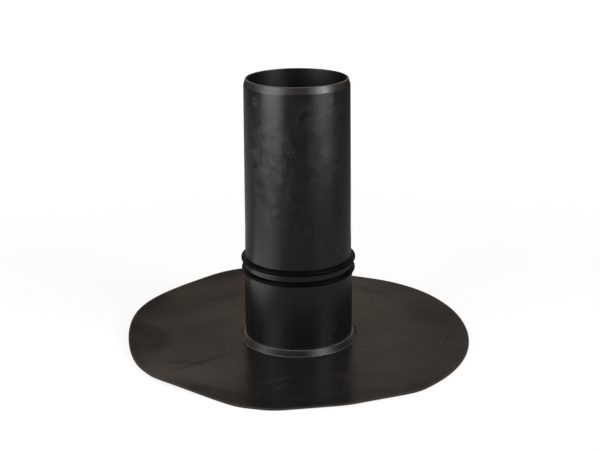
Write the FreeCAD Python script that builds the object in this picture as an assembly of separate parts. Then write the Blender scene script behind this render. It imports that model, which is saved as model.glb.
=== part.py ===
import FreeCAD, Part
import math
import os

# Roof drain standing on its membrane flange with the spigot up, as it is stored.
# Millimetres, +Z up, the pipe's axis on Z, the flat underside of the flange on z = 0.

# Driving dimensions of the pipe, from the mouth at the flange to the tip of the spigot
HEIGHT = 246.0
BARREL_RADIUS = 50.0
WALL = 3.5
BORE_LENGTH = 60.0
REDUCER_LENGTH = 12.0
LAND_STEP = 0.6
SPIGOT_STEP = 0.5
SPIGOT_DRAFT = 1.5
TAPER_HEIGHT = 6.0
TAPER_DEPTH = 1.7
TAPER_ROUND = 4.0
TIP_EDGE = 1.4
TIP_CHAMFER = 0.4

# Driving dimensions of the collar at the pipe's foot
COLLAR_WIDTH = 5.6
COLLAR_HEIGHT = 5.1
COLLAR_LEDGE = 1.2
COLLAR_EDGE = 0.5
COLLAR_CHAMFER = 0.5

# Driving dimensions of the lip seals and their grooves
LOWER_LIP_HEIGHT = 69.0
LIP_PITCH = 10.4
LOWER_LIP_REACH = 3.1
UPPER_LIP_REACH = 3.9
LIP_EDGE = 1.6
SEAL_HEIGHT = 4.6
SEAL_SHOULDER = 0.3
GROOVE_DEPTH = 1.0
SEAT_CLEARANCE = 0.05

# Driving dimensions of the flange
SHEET = 1.5
SHEET_RADIUS = 159.5
FLAT_RADIUS = 80.0
TRIM = 5.0
CORNER_ROUND = 50.0

# Straight knife strokes across the round edge: direction in degrees, and depth at the middle of the stroke
KNIFE_STROKES = ((236.0, 7.6), (256.0, 2.6), (276.0, 6.8), (293.0, 6.2))

# Ripples along the edge: direction and half-width in degrees, and lift at the edge
RIPPLES = ((36.0, 56.0, 3.4), (115.0, 52.0, 11.0), (168.0, 42.0, 10.6), (222.0, 26.0, 2.7), (286.0, 24.0, 1.5))
PATCH_CELLS = 16

# Sizes that follow from the driving dimensions
BORE_RADIUS = BARREL_RADIUS - WALL
LAND_RADIUS = BARREL_RADIUS - LAND_STEP
SPIGOT_ROOT_RADIUS = LAND_RADIUS - SPIGOT_STEP
SPIGOT_END_RADIUS = SPIGOT_ROOT_RADIUS - SPIGOT_DRAFT
TIP_RADIUS = SPIGOT_END_RADIUS - TAPER_DEPTH
SPIGOT_BORE_RADIUS = TIP_RADIUS - TIP_EDGE
LOWER_SEAT_RADIUS = LAND_RADIUS - GROOVE_DEPTH
UPPER_SEAT_RADIUS = SPIGOT_ROOT_RADIUS - GROOVE_DEPTH
LOWER_GROOVE_FLOOR = LOWER_LIP_HEIGHT - LIP_EDGE / 2
UPPER_GROOVE_FLOOR = LOWER_GROOVE_FLOOR + LIP_PITCH


def turned(points):
    """Solid of revolution about Z from the corners of a closed profile, each a radius and a height."""
    corners = [FreeCAD.Vector(radius, 0, height) for radius, height in points]
    profile = Part.makePolygon(corners + corners[:1])
    return Part.Face(profile).revolve(FreeCAD.Vector(0, 0, 0), FreeCAD.Vector(0, 0, 1), 360)


def rims(shape, radius, height):
    """The circular edges of a turned shape at one radius and height."""
    found = []
    for edge in shape.Edges:
        if not isinstance(edge.Curve, Part.Circle):
            continue
        same_radius = abs(edge.Curve.Radius - radius) < 1e-6
        same_height = abs(edge.Curve.Center.z - height) < 1e-6
        if same_radius and same_height:
            found.append(edge)
    return found


def outlet_pipe():
    """Moulded pipe: foot collar, straight barrel, two stepped seal grooves and a drafted spigot."""
    groove_height = SEAL_HEIGHT + SEAT_CLEARANCE
    collar_radius = BARREL_RADIUS + COLLAR_WIDTH
    collar_top = SHEET + COLLAR_HEIGHT
    ledge_radius = BARREL_RADIUS + COLLAR_LEDGE
    taper_foot = HEIGHT - TAPER_HEIGHT
    pipe = turned([
        (BORE_RADIUS, SHEET),
        (collar_radius, SHEET),
        (collar_radius, SHEET + COLLAR_EDGE),
        (ledge_radius, collar_top),
        (BARREL_RADIUS, collar_top),
        (BARREL_RADIUS, LOWER_GROOVE_FLOOR),
        (LOWER_SEAT_RADIUS, LOWER_GROOVE_FLOOR),
        (LOWER_SEAT_RADIUS, LOWER_GROOVE_FLOOR + groove_height),
        (LAND_RADIUS, LOWER_GROOVE_FLOOR + groove_height),
        (LAND_RADIUS, UPPER_GROOVE_FLOOR),
        (UPPER_SEAT_RADIUS, UPPER_GROOVE_FLOOR),
        (UPPER_SEAT_RADIUS, UPPER_GROOVE_FLOOR + groove_height),
        (SPIGOT_ROOT_RADIUS, UPPER_GROOVE_FLOOR + groove_height),
        (SPIGOT_END_RADIUS, taper_foot),
        (TIP_RADIUS, HEIGHT),
        (SPIGOT_BORE_RADIUS, HEIGHT),
        (SPIGOT_BORE_RADIUS, BORE_LENGTH + REDUCER_LENGTH),
        (BORE_RADIUS, BORE_LENGTH),
    ])
    pipe = pipe.makeFillet(TAPER_ROUND, rims(pipe, SPIGOT_END_RADIUS, taper_foot))
    pipe = pipe.makeChamfer(COLLAR_CHAMFER, rims(pipe, ledge_radius, collar_top))
    tip = rims(pipe, TIP_RADIUS, HEIGHT) + rims(pipe, SPIGOT_BORE_RADIUS, HEIGHT)
    return pipe.makeChamfer(TIP_CHAMFER, tip)


def seal_ring(seat_radius, pipe_radius, lip_reach, floor):
    """Wedge-shaped lip seal: it stands on its groove's floor, and its upper side slopes down to a thin edge."""
    inner_radius = seat_radius + SEAT_CLEARANCE
    lip_radius = pipe_radius + lip_reach
    return turned([
        (inner_radius, floor),
        (inner_radius, floor + SEAL_HEIGHT),
        (pipe_radius + SEAL_SHOULDER, floor + SEAL_HEIGHT),
        (lip_radius, floor + LIP_EDGE),
        (lip_radius, floor),
    ])


def ripple(direction):
    """Lift of the sheet's edge in a direction in degrees."""
    lift = 0.0
    for centre, half_width, height in RIPPLES:
        away = abs((direction - centre + 180.0) % 360.0 - 180.0)
        if away < half_width:
            lift += height * 0.5 * (1.0 + math.cos(math.pi * away / half_width))
    return lift


def rippled_sheet():
    """Underside of the sheet: one square spline patch, flat in the middle, that rises to a rippled edge.

    The poles stand over the middle of each cell and on the border, which keeps the patch even.
    A pole lifts what lies within a cell and a half of it, so the rise starts that far outside the flat.
    """
    half = SHEET_RADIUS + TRIM
    cell = 2 * half / PATCH_CELLS
    rise_start = FLAT_RADIUS + 1.5 * cell
    places = [-half] + [(count + 0.5) * cell - half for count in range(PATCH_CELLS)] + [half]
    poles = []
    for x in places:
        column = []
        for y in places:
            direction = math.degrees(math.atan2(y, x))
            share = max(0.0, (math.hypot(x, y) - rise_start) / (SHEET_RADIUS - rise_start))
            column.append(FreeCAD.Vector(x, y, ripple(direction) * share ** 2))
        poles.append(column)
    knots = list(range(PATCH_CELLS + 1))
    repeats = [3] + [1] * (PATCH_CELLS - 1) + [3]
    surface = Part.BSplineSurface()
    surface.buildFromPolesMultsKnots(poles, repeats, repeats, knots, knots, False, False, 2, 2)
    return surface.toShape().extrude(FreeCAD.Vector(0, 0, SHEET))


def cut_outline():
    """Plan of the sheet: a round cut by hand, with straight strokes of the knife that run into each other."""
    reach = 2 * SHEET_RADIUS
    outline = Part.makeCylinder(SHEET_RADIUS, reach, FreeCAD.Vector(0, 0, -SHEET_RADIUS))
    for direction, depth in KNIFE_STROKES:
        corner = FreeCAD.Vector(SHEET_RADIUS - depth, -SHEET_RADIUS, -SHEET_RADIUS)
        offcut = Part.makeBox(reach, reach, reach, corner)
        offcut.rotate(FreeCAD.Vector(0, 0, 0), FreeCAD.Vector(0, 0, 1), direction)
        outline = outline.cut(offcut)
    corners = []
    for edge in outline.Edges:
        upright = abs(edge.Vertexes[0].Z - edge.Vertexes[-1].Z) > SHEET_RADIUS
        if upright and not any(edge.isSeam(face) for face in outline.Faces):
            corners.append(edge)
    return outline.makeFillet(CORNER_ROUND, corners)


def membrane_flange():
    """Sheet with a plane middle under the pipe, a hole flush with the bore, and a rippled, hand-cut edge."""
    below = FreeCAD.Vector(0, 0, -SHEET)
    around = rippled_sheet().common(cut_outline()).cut(Part.makeCylinder(FLAT_RADIUS, 3 * SHEET, below))
    middle = Part.makeCylinder(FLAT_RADIUS, SHEET)
    return around.fuse(middle).cut(Part.makeCylinder(BORE_RADIUS, 3 * SHEET, below))


nodes = {
    "outlet_pipe": outlet_pipe(),
    "membrane_flange": membrane_flange(),
    "upper_seal_ring": seal_ring(UPPER_SEAT_RADIUS, SPIGOT_ROOT_RADIUS, UPPER_LIP_REACH, UPPER_GROOVE_FLOOR),
    "lower_seal_ring": seal_ring(LOWER_SEAT_RADIUS, LAND_RADIUS, LOWER_LIP_REACH, LOWER_GROOVE_FLOOR),
}

os.makedirs("parts", exist_ok=True)
for name, shape in nodes.items():
    shape.exportStep("parts/" + name + ".step")
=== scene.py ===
import math

import bmesh
import bpy
from mathutils import Matrix, Vector, noise


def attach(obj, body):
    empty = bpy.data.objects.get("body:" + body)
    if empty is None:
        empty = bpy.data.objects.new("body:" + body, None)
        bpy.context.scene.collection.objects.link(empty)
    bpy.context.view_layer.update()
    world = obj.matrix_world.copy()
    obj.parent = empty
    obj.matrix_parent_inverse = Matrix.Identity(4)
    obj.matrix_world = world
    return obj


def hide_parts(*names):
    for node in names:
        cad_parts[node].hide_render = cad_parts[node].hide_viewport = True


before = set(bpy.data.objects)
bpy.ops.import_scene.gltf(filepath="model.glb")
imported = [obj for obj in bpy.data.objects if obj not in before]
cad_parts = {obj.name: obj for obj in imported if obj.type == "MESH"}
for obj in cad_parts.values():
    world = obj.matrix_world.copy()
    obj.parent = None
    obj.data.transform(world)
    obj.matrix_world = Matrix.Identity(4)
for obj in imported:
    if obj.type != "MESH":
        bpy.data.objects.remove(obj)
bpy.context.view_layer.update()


# Membrane flange: a round of black rubber roofing sheet, 1.5 mm thick, under the pipe's foot.
# It was cut out by hand with a knife, in straight strokes along the front, and it has never
# lain flat since: its edge lifts off the ground in long soft ripples.
MM = 0.001
SHEET = 1.5 * MM
SHEET_RADIUS = 159.4 * MM
SHEET_HOLE = 46.5 * MM
SHEET_FLAT = 80.0 * MM
SHEET_RISE = 110.8 * MM
SHEET_RINGS = 56
SHEET_SPOKES = 360
SHEET_CREASE = 40
EDGE_ROUND = 0.22 * MM
SHARP_CORNER = 0.8

# Knife strokes across the round: direction in degrees, and depth in millimetres
KNIFE_STROKES = ((236, 7.6), (256, 2.6), (276, 6.8), (293, 6.2))
KNIFE_CORNER = 3.1 * MM
KNIFE_REACH = 0.8

# Ripples along the edge: direction and half width in degrees, and height in millimetres
RIPPLES = ((36, 56, 3.4), (115, 52, 11.0), (168, 42, 10.6), (222, 26, 2.7), (286, 24, 1.5))
RIPPLE_SPREAD = 0.045
UNEVENNESS = 0.22 * MM
UNEVEN_SCALE = 26

# Marks on the sheet in millimetres and degrees: place, half length, half width, turn, strength
SHEET_SCORES = (
    (34, -49, 9, 0.5, -24, 0.5), (-112, 12, 14, 0.3, 12, 0.22), (70, -85, 18, 0.3, 8, 0.2),
    (104, 24, 20, 0.3, -31, 0.2), (-40, 96, 24, 0.35, 52, 0.3), (60, 108, 20, 0.3, -12, 0.3),
    (142, -34, 13, 0.6, 77, 0.4), (-8, -118, 12, 0.3, 70, 0.2))
SHEET_WIPES = (
    (-20, -101, 22, 5, 29, 0.7), (-16, -114, 12, 4, 45, 0.7), (-36, -128, 16, 7, 50, 0.7),
    (2, -137, 16, 4, -1, 0.6), (38, -95, 18, 10, -40, 0.6), (73, -79, 34, 4, 9, 0.5),
    (56, -56, 9, 5, 60, 0.5), (90, 80, 30, 5, -40, 0.5), (-80, 100, 26, 6, 35, 0.5))
SHEET_SMEARS = (
    (-89, -64, 46, 6.0, 36, 0.9), (-106, -63, 18, 7.0, 5, 0.8), (104, -113, 26, 10, 35, 0.9),
    (-151, -17, 38, 36, 0, 2.6), (-104, 14, 58, 20, 24, 0.5), (108, -3, 38, 12, -15, 0.35),
    (128, 40, 26, 44, 30, 0.7), (-78, -121, 46, 13, -28, 1.3), (-50, -135, 30, 18, -20, 1.1),
    (60, -128, 40, 14, 12, 1.2), (12, -143, 62, 13, 3, 1.0), (-20, 120, 40, 10, 20, 0.6),
    (70, 110, 36, 9, -35, 0.6))
SHEET_POLISH = ((-94, -74, 66, 44, -20, 1.4), (70, 92, 80, 50, -30, 0.9))
RUB_RING = (89, -38, 15.5, 15.5, 0)
RUB_SHARE = (89, -54, 24, 16, 0)

SHEET_BLACK = (0.0070, 0.0068, 0.0066, 1)
SHEET_GREY = (0.0160, 0.0155, 0.0150, 1)
SHEET_WIPED = (0.036, 0.0348, 0.0336, 1)
SHEET_DUST = (0.36, 0.34, 0.32, 1)
SHEET_SCORED = (0.10, 0.094, 0.088, 1)
# Lighter grey on the cut edge: partly dust and wear on the knife-cut face, partly a painted highlight
# where the edge catches light.
SHEET_EDGE_WEAR_AND_HIGHLIGHT = (0.07, 0.065, 0.060, 1)


class Wire:
    """A socket of a finish's nodes: sums on it add Math nodes, and node() adds any other node."""

    def __init__(self, tree, socket=None):
        self.tree = tree
        self.socket = socket

    def node(self, kind, settings, sockets, output=0):
        made = self.tree.nodes.new(kind)
        for name, value in settings.items():
            if name == "stops":
                stops = made.color_ramp.elements
                while len(stops) < len(value):
                    stops.new(1.0)
                for stop, (position, grey) in zip(stops, value):
                    stop.position = position
                    stop.color = (grey, grey, grey, 1.0)
            else:
                setattr(made, name, value)
        for key, value in sockets.items():
            if isinstance(value, Wire):
                self.tree.links.new(value.socket, made.inputs[key])
            else:
                made.inputs[key].default_value = value
        return Wire(self.tree, made.outputs[output])

    def math(self, operation, *terms):
        """A Math node on this value and the terms that follow it."""
        return self.node("ShaderNodeMath", {"operation": operation}, dict(enumerate((self, *terms))))

    def __add__(self, other):
        return self.math("ADD", other)

    __radd__ = __add__

    def __sub__(self, other):
        return self.math("SUBTRACT", other)

    def __rsub__(self, other):
        return self.node("ShaderNodeMath", {"operation": "SUBTRACT"}, {0: other, 1: self})

    def __mul__(self, other):
        return self.math("MULTIPLY", other)

    __rmul__ = __mul__

    def ramp(self, *stops):
        return self.node("ShaderNodeValToRGB", {"stops": stops}, {0: self})

    def tint(self, under, over):
        """Colour that goes from one to the other as this value goes from 0 to 1."""
        return self.node("ShaderNodeMix", {"data_type": "RGBA"}, {0: self, 6: under, 7: over}, 2)

    def noise(self, scale, detail=4.0, roughness=0.55, swirl=0.0):
        sockets = {"Vector": self, "Scale": scale, "Detail": detail,
                   "Roughness": roughness, "Distortion": swirl}
        return self.node("ShaderNodeTexNoise", {}, sockets)

    def specks(self, scale):
        """Distance to the nearest of the points that are strewn over the surface."""
        sockets = {"Vector": self, "Scale": scale, "Randomness": 1.0}
        return self.node("ShaderNodeTexVoronoi", {}, sockets)

    def stretched(self, *scale):
        return self.node("ShaderNodeMapping", {}, {"Vector": self, "Scale": scale})

    def mark(self, x, y, half_length, half_width, turn):
        """A soft sliver in millimetres and degrees: 1 along its middle, 0 from its outline on."""
        sockets = {"Vector": self, "Location": (x * MM, y * MM, 0.0),
                   "Rotation": (0.0, 0.0, math.radians(turn)),
                   "Scale": (half_length * MM, half_width * MM, 1.0)}
        within = self.node("ShaderNodeMapping", {"vector_type": "TEXTURE"}, sockets)
        return self.node("ShaderNodeTexGradient", {"gradient_type": "SPHERICAL"}, {0: within}, "Fac")

    def marks(self, rows):
        """Several slivers together: each is a place, two half sizes, a turn and a strength."""
        total = 0.0
        for *sliver, strength in rows:
            total = self.mark(*sliver) * strength + total
        return total

    def bump(self, strength, distance):
        """Normal of a surface that this value raises."""
        sockets = {"Strength": strength, "Distance": distance, "Height": self}
        return self.node("ShaderNodeBump", {}, sockets)


def finish(name):
    """A new finish: its object coordinates, and its shader, whose sockets are still to be set."""
    material = bpy.data.materials.new(name)
    material.use_nodes = True
    shader = material.node_tree.nodes["Principled BSDF"]
    place = Wire(material.node_tree).node("ShaderNodeTexCoord", {}, {}, "Object")
    return material, shader, place


def layered(colour, *layers):
    """Lays colours over a first one: each layer is a mask, its strength and its colour."""
    for mask, strength, over in layers:
        colour = (mask * strength).tint(colour, over)
    return colour


def dress(shader, **sockets):
    """Sets or links the sockets of a shader, named with underscores for spaces."""
    for key, value in sockets.items():
        socket = shader.inputs[key.replace("_", " ")]
        if isinstance(value, Wire):
            value.tree.links.new(value.socket, socket)
        else:
            socket.default_value = value


def piece(name, form, material, node, crease=28):
    """Makes a bmesh an object that stands for a CAD node, smooth but for its creases."""
    for face in form.faces:
        face.smooth = True
    for edge in form.edges:
        edge.smooth = edge.calc_face_angle(0.0) < math.radians(crease)
    mesh = bpy.data.meshes.new(name)
    form.to_mesh(mesh)
    form.free()
    mesh.materials.append(material)
    made = bpy.data.objects.new(name, mesh)
    bpy.context.scene.collection.objects.link(made)
    made.modifiers.new("even_shading", "WEIGHTED_NORMAL").keep_sharp = True
    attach(made, "root")
    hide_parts(node)


def edge_radius(direction):
    """Distance of the cut edge from the axis: the round, or a knife stroke where that is nearer."""
    nearest = SHEET_RADIUS
    for stroke, depth in KNIFE_STROKES:
        away = math.cos(math.radians(direction - stroke))
        if away > KNIFE_REACH:
            straight = (SHEET_RADIUS - depth * MM) / away
            both = max(KNIFE_CORNER - abs(nearest - straight), 0.0)
            nearest = min(nearest, straight) - both * both / (4 * KNIFE_CORNER)
    return nearest


def ripple(direction):
    """Lift of the sheet's edge in a direction in degrees."""
    lift = 0.0
    for centre, half_width, height in RIPPLES:
        away = abs((direction - centre + 180) % 360 - 180)
        if away < half_width:
            lift += height * MM * 0.5 * (1 + math.cos(math.pi * away / half_width))
    return lift


sheet = bmesh.new()
ends = [sheet.verts.new((radius, 0, 0)) for radius in (SHEET_HOLE, SHEET_RADIUS)]
bmesh.ops.subdivide_edges(sheet, edges=[sheet.edges.new(ends)], cuts=SHEET_RINGS)
bmesh.ops.spin(sheet, geom=sheet.verts[:] + sheet.edges[:], axis=(0, 0, 1), cent=(0, 0, 0),
               angle=math.tau, steps=SHEET_SPOKES, use_merge=True)
bmesh.ops.remove_doubles(sheet, verts=sheet.verts[:], dist=1e-6)
for vert in sheet.verts:
    radius = vert.co.to_2d().length
    direction = math.degrees(math.atan2(vert.co.y, vert.co.x))
    outer = max(0.0, (radius - SHEET_FLAT) / (SHEET_RADIUS - SHEET_FLAT))
    cut = 1 + outer * (edge_radius(direction) / SHEET_RADIUS - 1)
    vert.co.xy *= cut
    share = max(0.0, (radius * cut - SHEET_RISE) / (SHEET_RADIUS - SHEET_RISE))
    lift = ripple(direction) * (share ** 2 + RIPPLE_SPREAD * min(1.0, 2 * share))
    wave = 0.5 + 0.5 * noise.noise(vert.co * UNEVEN_SCALE)
    vert.co.z = lift + UNEVENNESS * wave * min(1.0, 1.6 * outer)
upper = bmesh.ops.extrude_face_region(sheet, geom=sheet.faces[:], use_keep_orig=True)
upper_verts = [item for item in upper["geom"] if isinstance(item, bmesh.types.BMVert)]
bmesh.ops.translate(sheet, verts=upper_verts, vec=(0, 0, SHEET))
bmesh.ops.recalc_face_normals(sheet, faces=sheet.faces[:])
cut_edge = sheet.verts.layers.float.new("cut_edge")
rims = [edge for edge in sheet.edges if edge.calc_face_angle(0.0) > SHARP_CORNER]
for edge in rims:
    for vert in edge.verts:
        vert[cut_edge] = 1.0
bmesh.ops.bevel(sheet, geom=rims, offset=EDGE_ROUND, offset_type="OFFSET", affect="EDGES",
                segments=2, profile=0.5, material=-1)

membrane, shader, place = finish("membrane_rubber")
across = place.stretched(1, 1, 0)
clouds = across.noise(17, detail=2, roughness=0.5, swirl=0.3).ramp((0.25, 0.0), (0.75, 1.0))
mottle = across.noise(430, detail=3, roughness=0.7).ramp((0.34, 0.0), (0.66, 1.0))
dust = across.specks(150).ramp((0.045, 1.0), (0.08, 0.0))
dust = dust + across.specks(420).ramp((0.08, 0.5), (0.17, 0.0))
dust = dust * across.noise(22, detail=3).ramp((0.40, 0.25), (0.66, 1.0))
wipes = across.marks(SHEET_WIPES)
wipes = wipes * across.noise(60, detail=5, roughness=0.7).ramp((0.36, 0.0), (0.66, 1.0))
smears = across.marks(SHEET_SMEARS).ramp((0.0, 0.0), (0.9, 0.85))
smears = smears * across.noise(75).ramp((0.30, 0.6), (0.62, 1.0))
rub = across.mark(*RUB_RING).ramp((0.0, 0.0), (0.035, 1.0), (0.07, 0.0))
rub = rub * across.mark(*RUB_SHARE).ramp((0.0, 0.0), (0.4, 1.0))
scores = across.marks(SHEET_SCORES) + rub * 0.25
# The cut edge is painted lighter: partly its dusty, worn cut face, partly a painted highlight line
# along the rim.
edge_wear_and_highlight = place.node("ShaderNodeAttribute", {"attribute_name": "cut_edge"}, {}, "Fac")
colour = layered((clouds * 0.4 + mottle * 0.6).tint(SHEET_BLACK, SHEET_GREY),
                 (wipes, 0.9, SHEET_WIPED), (dust, 0.5, SHEET_DUST),
                 (scores, 0.5, SHEET_SCORED), (edge_wear_and_highlight, 0.7, SHEET_EDGE_WEAR_AND_HIGHLIGHT))
polish = across.marks(SHEET_POLISH)
gloss = (0.132 + clouds * 0.11 + mottle * 0.05 + polish * 0.08) * (1 - smears)
roughness = 0.25 + clouds * 0.06 + wipes * 0.1 + dust * 0.3 + edge_wear_and_highlight * 0.2
grain = across.noise(130, detail=3) * 0.7 + across.noise(950, detail=2) * 0.2
dress(shader, Base_Color=colour, Roughness=roughness, Normal=grain.bump(0.10, 0.4 * MM),
      Specular_IOR_Level=0.02, Coat_Weight=gloss, Coat_Roughness=0.28)
piece("flange_sheet", sheet, membrane, "membrane_flange", SHEET_CREASE)


# Outlet pipe: one moulding in black polyethylene, with a foot collar, a straight barrel, two
# grooves for the seals and a spigot that draws in towards a bevelled tip. It came out of its
# mould in one piece and has been handled since, so it is smudged and finely scratched.
PIPE_PROFILE = (
    (46.5, 1.5), (55.6, 1.5), (55.6, 2.0), (51.2, 6.6), (50, 6.6), (50, 68.2), (48.4, 68.2),
    (48.4, 71.75), (49.4, 71.75), (49.4, 78.6), (47.9, 78.6), (47.9, 82.05), (48.9, 82.05),
    (47.4, 240), (45.7, 246), (44.3, 246), (44.3, 72), (46.5, 60))
PIPE_ROUNDS = {
    (55.6, 2.0): 0.15, (51.2, 6.6): 0.8, (50, 68.2): 0.25, (49.4, 71.75): 0.2, (49.4, 78.6): 0.2,
    (48.9, 82.05): 0.25, (47.4, 240): 0.45, (45.7, 246): 0.5, (44.3, 246): 0.5}
TURN_STEPS = 256
UNROLL_RADIUS = 48 * MM
LINING_RADIUS = 45.0 * MM
MOUTH_STEP = 1.8 * MM
MOUTH_TOP = 74 * MM
BEVEL_FOOT = 240.2 * MM

# Marks on the unrolled wall: distance round from the front, height, and the rest as on the sheet
PIPE_SCRATCHES = (
    (28, 222.7, 24, 0.25, 16, 0.22), (32, 224.4, 6, 0.35, 17, 0.4), (-5, 192.7, 18, 0.25, -66, 0.25),
    (-8, 190.2, 4, 0.3, -19, 0.35), (-2.8, 190.7, 2.5, 0.3, 46, 0.35), (39.5, 173.4, 7, 0.3, 8, 0.25),
    (-7.5, 148.6, 6.3, 0.3, -57, 0.35), (36, 107, 4.5, 0.3, 15, 0.4), (43, 110.5, 4, 0.35, 40, 0.5),
    (-43, 160, 13, 0.25, 86, 0.45), (-46, 124, 8, 0.25, 80, 0.45), (-26, 135, 11, 0.3, 88, 0.18),
    (-21, 132, 9, 0.25, 92, 0.15), (-4, 141, 4, 0.3, 40, 0.35), (13, 164, 8, 0.3, 24, 0.2),
    (34, 22, 9, 0.3, 28, 0.35), (30, 14, 5, 0.3, -12, 0.3), (-39, 140, 9, 0.25, 84, 0.3),
    (41, 98, 5, 0.3, 52, 0.5), (8, 118, 6, 0.25, 30, 0.2), (-90, 190, 20, 0.25, 35, 0.4),
    (104, 150, 16, 0.3, -50, 0.4), (-120, 120, 14, 0.3, 20, 0.4), (70, 205, 15, 0.25, -28, 0.4))
PIPE_HANDLED = (
    (-29, 174, 27, 66, 0, 2.0), (25, 186, 20, 48, 0, 0.8), (-4, 150, 44, 62, 0, 0.3),
    (0, 216, 66, 24, 0, 0.5))
# Paler noisy patches on the inner wall at the back left and back right.
LINING_PALE_PATCHES = ((-129, 233, 15, 26, 0, 1.3), (118, 233, 16, 24, 0, 0.7))
LEFT_GATE = (-42.4, 231.2, 3.8, 4.6, 10)
RIGHT_GATE = (32, 232.2, 3.0, 4.2, -12)
GRIP = ((0.115, 0.0), (0.165, 1.0), (0.228, 1.0), (0.240, 0.0))

# Marks on the turned section: radius, height, and the rest as on the sheet
# Pale rims: wear on the collar's top and foot and on the tip. Along the collar's top edge it is also a
# painted highlight line.
PIPE_RIM_WEAR_AND_HIGHLIGHTS = (
    (51.0, 6.5, 1.0, 0.9, 0, 1.0), (55.6, 2.0, 0.7, 0.7, 0, 0.6), (45.6, 245.9, 0.7, 0.7, 0, 0.5))
# Where the collar's slope is painted paler grey: a painted sheen, as the collar is the same black
# plastic as the pipe.
COLLAR_SHEEN_SECTION = (53.5, 4.2, 6.5, 6.0, 0)

PIPE_BLACK = (0.0055, 0.0055, 0.0057, 1)
PIPE_SMUDGED = (0.0245, 0.0237, 0.0260, 1)
PIPE_WIPED = (0.0260, 0.0260, 0.0268, 1)
# Painted sheen on the collar's sloped face, which faces up into the light.
COLLAR_PAINTED_SHEEN = (0.0240, 0.0236, 0.0226, 1)
RIM_WEAR_AND_HIGHLIGHT = (0.15, 0.15, 0.15, 1)
# Painted shade: the inside of the bore is painted blacker than the outside.
LINING_PAINTED_SHADE = (0.0016, 0.0016, 0.0016, 1)
LINING_PALE_GREY = (0.0190, 0.0186, 0.0190, 1)
GATE_GREY = (0.060, 0.060, 0.060, 1)
PIPE_SCRATCHED = (0.26, 0.26, 0.26, 1)
PIPE_DUST = (0.18, 0.18, 0.18, 1)


def turned(profile, rounds):
    """Turns a closed profile, radius and height in millimetres, about the axis and rounds its rims."""
    form = bmesh.new()
    corners = [form.verts.new((radius * MM, 0, height * MM)) for radius, height in profile]
    for start, end in zip(corners, corners[1:] + corners[:1]):
        form.edges.new((start, end))
    bmesh.ops.spin(form, geom=form.verts[:] + form.edges[:], axis=(0, 0, 1), cent=(0, 0, 0),
                   angle=math.tau, steps=TURN_STEPS, use_merge=True)
    bmesh.ops.remove_doubles(form, verts=form.verts[:], dist=1e-7)
    bmesh.ops.recalc_face_normals(form, faces=form.faces[:])
    for (radius, height), size in rounds.items():
        rim = []
        for edge in form.edges:
            level = all(abs(vert.co.z - height * MM) < 1e-6 for vert in edge.verts)
            if level and all(abs(vert.co.to_2d().length - radius * MM) < 1e-6 for vert in edge.verts):
                rim.append(edge)
        bmesh.ops.bevel(form, geom=rim, offset=size * MM, offset_type="OFFSET", affect="EDGES",
                        segments=4, profile=0.5, material=-1)
    return form


def part(vector, axis):
    """One of a vector's three values, by the letter of its axis."""
    return vector.node("ShaderNodeSeparateXYZ", {}, {0: vector}, axis)


def length(vector):
    return vector.node("ShaderNodeVectorMath", {"operation": "LENGTH"}, {0: vector}, "Value")


plastic, shader, place = finish("pipe_plastic")
turn = part(place, "X").math("ARCTAN2", 0 - part(place, "Y"))
height = part(place, "Z")
radius = length(place.stretched(1, 1, 0))
unrolled = place.node("ShaderNodeCombineXYZ", {}, {0: turn * UNROLL_RADIUS, 1: height})
section = place.node("ShaderNodeCombineXYZ", {}, {0: radius, 1: height})
# Inside the bore: painted darker there as painted shade, and made a little rougher.
inside = radius.math("LESS_THAN", LINING_RADIUS + height.math("LESS_THAN", MOUTH_TOP) * MOUTH_STEP)
bevelled = height.math("GREATER_THAN", BEVEL_FOOT) * (1 - inside)
bevelled = bevelled * place.noise(85, roughness=0.6).ramp((0.34, 0.7), (0.64, 1.7))
handled = place.noise(15, detail=2).ramp((0.45, 0.0), (0.70, 0.5)) * height.ramp(*GRIP)
handled = unrolled.marks(PIPE_HANDLED) + handled
smudge = place.noise(74, detail=6, roughness=0.68, swirl=0.7).ramp((0.41, 0.0), (0.66, 1.0))
smudge = smudge * handled.math("MINIMUM", 1.0)
# Paler patches on the inner wall at the back left and back right.
lining_pale = place.noise(74, detail=5, roughness=0.6, swirl=0.5).ramp((0.34, 0.2), (0.62, 1.0))
lining_pale = unrolled.marks(LINING_PALE_PATCHES) * lining_pale * inside
wipes = unrolled.stretched(110, 16, 1).noise(1.0, detail=3).ramp((0.45, 0.0), (0.72, 1.0))
scratches = unrolled.marks(PIPE_SCRATCHES)
# Pale rims: wear, and along the collar's top edge a painted highlight line as well.
rim_wear_and_highlight = section.marks(PIPE_RIM_WEAR_AND_HIGHLIGHTS) * place.noise(90).ramp((0.30, 0.5), (0.60, 1.0))
# Painted sheen: the collar's slope is painted paler than the rest of the moulding.
collar_sheen = section.mark(*COLLAR_SHEEN_SECTION).ramp((0.0, 0.0), (0.15, 1.0))
gates = unrolled.mark(*LEFT_GATE) + unrolled.mark(*RIGHT_GATE)
gate_rings = gates.ramp((0.02, 0.0), (0.35, 1.0), (0.80, 0.3))
dust = place.specks(130).ramp((0.03, 1.0), (0.06, 0.0))
dust = dust * place.noise(30, detail=2).ramp((0.5, 0.0), (0.6, 1.0))
colour = layered(smudge.tint(PIPE_BLACK, PIPE_SMUDGED),
                 (wipes, 0.12, PIPE_WIPED), (collar_sheen, 0.2, COLLAR_PAINTED_SHEEN), (rim_wear_and_highlight, 0.7, RIM_WEAR_AND_HIGHLIGHT),
                 (inside, 0.7, LINING_PAINTED_SHADE), (lining_pale, 0.8, LINING_PALE_GREY),
                 (gate_rings, 0.28, GATE_GREY), (scratches, 0.7, PIPE_SCRATCHED),
                 (dust, 0.5, PIPE_DUST))
roughness = 0.28 + smudge * 0.09 + wipes * 0.03 + gate_rings * 0.12 + inside * 0.08 + bevelled * 0.09
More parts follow.
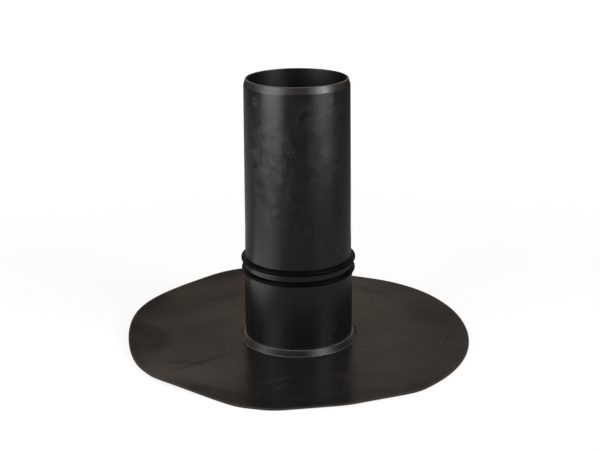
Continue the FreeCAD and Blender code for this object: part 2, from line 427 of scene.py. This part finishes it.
grain = place.noise(700, detail=2) * 0.5 + gates * 3
dress(shader, Base_Color=colour, Roughness=roughness, Normal=grain.bump(0.06, 0.3 * MM),
      Specular_IOR_Level=0.5)
pipe = turned(PIPE_PROFILE, PIPE_ROUNDS)
piece("moulded_pipe", pipe, plastic, "outlet_pipe")


# Seal rings: two soft black rubber rings stretched over the pipe into its grooves.
# Each one flares out into a thin lip that points down and wipes the bore of the downpipe.
UPPER_SEAL = (
    (47.95, 78.6), (47.95, 82.0), (49.0, 82.0), (52.7, 80.4), (52.7, 78.9), (52.1, 77.8), (50.7, 78.6))
LOWER_SEAL = (
    (48.45, 68.2), (48.45, 71.7), (49.5, 71.7), (52.4, 70.3), (52.4, 69.0), (51.8, 67.8), (50.5, 68.2))
LIP_CORNERS = slice(2, 6)
LIP_ROUNDS = (0.3, 0.3, 0.3, 0.2)
SEAL_BLACK = (0.0020, 0.0020, 0.0020, 1)
SEAL_BLOOM = (0.0036, 0.0036, 0.0036, 1)

rubber, shader, place = finish("seal_rubber")
bloom = place.noise(60).ramp((0.4, 0.0), (0.7, 1.0))
grain = place.noise(1200, detail=2)
dress(shader, Base_Color=bloom.tint(SEAL_BLACK, SEAL_BLOOM), Roughness=0.34 + bloom * 0.10,
      Normal=grain.bump(0.1, 0.2 * MM), Specular_IOR_Level=0.06)
for name, profile in (("upper_seal", UPPER_SEAL), ("lower_seal", LOWER_SEAL)):
    rounds = dict(zip(profile[LIP_CORNERS], LIP_ROUNDS))
    piece(name, turned(profile, rounds), rubber, name + "_ring")


# Studio: a wide pale floor that shows the drain's shadow and runs into a white backdrop.
# What the drain mirrors of the room is dimmer and browner: a strip of light straight behind it,
# with a dark gap across, and a belt of light low round the walls.
FLOOR_HALF = 12.0
FLOOR_GAP = 0.3 * MM
FLOOR_GREY = (0.24, 0.236, 0.232, 1)
NO_GLOW = (0, 0, 0, 1)
WHITE_GLOW = (1, 1, 1, 1)
BROWN_GLOW = (1.0, 0.80, 0.67, 1)
ROOM_LIGHT = 0.1
STRIP_LIGHT = 0.95
BELT_LIGHT = 0.28
GAP_SHADE = 0.6


def seen_by(start, *rays):
    """1 for the rays named, and 0 for the rest."""
    found = 0.0
    for ray in rays:
        found = start.node("ShaderNodeLightPath", {}, {}, "Is " + ray + " Ray") + found
    return found


def eased(value, low, high, start=0.0, end=1.0):
    """Goes smoothly from start to end as a value goes from low to high."""
    sockets = {"Value": value, "From Min": low, "From Max": high, "To Min": start, "To Max": end}
    return value.node("ShaderNodeMapRange", {"interpolation_type": "SMOOTHSTEP"}, sockets)


ground = bmesh.new()
bmesh.ops.create_grid(ground, x_segments=2, y_segments=2, size=FLOOR_HALF)
bmesh.ops.translate(ground, verts=ground.verts[:], vec=(0, 0, -FLOOR_GAP))
floor_mesh = bpy.data.meshes.new("floor")
ground.to_mesh(floor_mesh)
ground.free()
floor_paint, shader, place = finish("floor_paint")
far = eased(length(place), 0.2, 0.9)
glow = seen_by(place, "Camera") * (0.78 + far * 0.17)
glow = glow + seen_by(place, "Camera", "Glossy", "Transmission") * 0.05
dress(shader, Base_Color=FLOOR_GREY, Roughness=0.9, Specular_IOR_Level=0.0,
      Emission_Color=glow.tint(NO_GLOW, WHITE_GLOW), Emission_Strength=1.0)
floor_mesh.materials.append(floor_paint)
floor = bpy.data.objects.new("floor", floor_mesh)
bpy.context.scene.collection.objects.link(floor)

world = bpy.data.worlds.new("studio")
bpy.context.scene.world = world
world.use_nodes = True
room = Wire(world.node_tree)
heading = room.node("ShaderNodeTexCoord", {}, {}, "Generated")
aside, ahead, above = (part(heading, axis) for axis in "XYZ")
narrowing = eased(above, 0.40, 0.75, 4.2, 0.6)
gap = eased(above, 0.42, 0.48) - eased(above, 0.55, 0.63)
strip = eased(ahead - aside.math("ABSOLUTE") * narrowing, 0.0, 0.75) * (1 - gap * GAP_SHADE)
belt = eased(above, 0.04, 0.16) - eased(above, 0.40, 0.48)
walls = eased(aside, -0.5, 0.5, 0.13, 0.03) + belt * BELT_LIGHT
mirrored = seen_by(room, "Glossy", "Transmission")
light = ROOM_LIGHT + seen_by(room, "Camera") * (1.0 - ROOM_LIGHT)
light = light + mirrored * (walls + strip * (STRIP_LIGHT - walls) - ROOM_LIGHT)
dress(world.node_tree.nodes["Background"], Color=mirrored.tint(WHITE_GLOW, BROWN_GLOW), Strength=light)


# Lamps: soft boxes at the left and right, the right one with a brighter head, a weak one in front,
# two above for the collar and one high behind for the sheet's lifted edge. Cards of light lie on
# the floor beside and behind the drain, where the pipe's walls and rims mirror them.
WHITE = (1.0, 1.0, 1.0)
WARM = (1.0, 0.86, 0.70)
AMBER = (1.0, 0.77, 0.60)
# Each lamp: name, place, aim, width and height, spread in degrees, power in watts, tone
LAMPS = (
    ("left_box", (-0.615, -0.44, 0.36), (0.0, 0.0, 0.22), (0.66, 0.57), 90, 1.9, WHITE),
    ("left_card", (-0.305, -0.09, 0.006), (-0.305, -0.09, 0.30), (0.30, 0.30), 180, 0.20, WHITE),
    ("near_card", (-0.205, -0.055, 0.004), (-0.205, -0.055, 0.30), (0.10, 0.20), 180, 0.03, WHITE),
    ("right_box", (0.63, -0.41, 0.243), (0.0, 0.0, 0.22), (0.56, 0.32), 90, 0.385, WHITE),
    ("right_head", (0.75, -0.51, 0.51), (0.0, 0.0, 0.24), (0.42, 0.20), 90, 1.2, WHITE),
    ("front_box", (0.0, -1.2, 0.65), (0.0, 0.0, 0.20), (0.8, 0.3), 90, 0.07, WHITE),
    ("left_top", (-0.80, 0.07, 1.0), (0.0, 0.0, 0.05), (0.6, 0.6), 70, 0.29, WHITE),
    ("right_top", (0.57, -0.24, 1.0), (0.0, 0.0, 0.05), (0.55, 0.4), 70, 0.42, WHITE),
    ("back_top", (0.09, 0.76, 0.73), (-0.12, 0.10, 0.01), (0.60, 0.32), 120, 0.30, AMBER),
    ("back_card", (0.0, 0.50, 0.006), (0.0, 0.50, 0.30), (0.30, 0.45), 180, 0.5, WHITE),
    ("back_left_card", (-0.48, 0.75, 0.006), (-0.48, 0.75, 0.30), (0.60, 1.15), 180, 0.40, WARM),
)
for name, spot, aim, (width, height), spread, power, tone in LAMPS:
    lamp = bpy.data.lights.new(name, "AREA")
    lamp.shape = "RECTANGLE"
    lamp.size = width
    lamp.size_y = height
    lamp.spread = math.radians(spread)
    lamp.energy = power
    lamp.color = tone
    hung = bpy.data.objects.new(name, lamp)
    hung.location = spot
    hung.rotation_euler = (Vector(aim) - Vector(spot)).to_track_quat("-Z", "Y").to_euler()
    hung.visible_camera = False
    bpy.context.scene.collection.objects.link(hung)


# Camera: at the photograph's viewing angle, a metre in front of the drain and looking down on it.
# Its place, its tilt and its lens were fitted to an image of 600 by 450.
IMAGE_WIDTH = 600
FOCAL_PIXELS = 1148.25
SENSOR_WIDTH = 36.0
CAMERA_PLACE = (0.00183, -1.00099, 0.43695)
CAMERA_TILT = 71.87
CAMERA_ROLL = -0.425
lens = bpy.data.cameras.new("camera")
lens.sensor_width = SENSOR_WIDTH
lens.lens = FOCAL_PIXELS / IMAGE_WIDTH * SENSOR_WIDTH
viewer = bpy.data.objects.new("camera", lens)
viewer.matrix_world = (Matrix.Translation(CAMERA_PLACE)
                       @ Matrix.Rotation(math.radians(CAMERA_TILT), 4, "X")
                       @ Matrix.Rotation(math.radians(CAMERA_ROLL), 4, "Z"))
bpy.context.scene.collection.objects.link(viewer)
bpy.context.scene.camera = viewer
bpy.context.scene.view_settings.view_transform = "Standard"
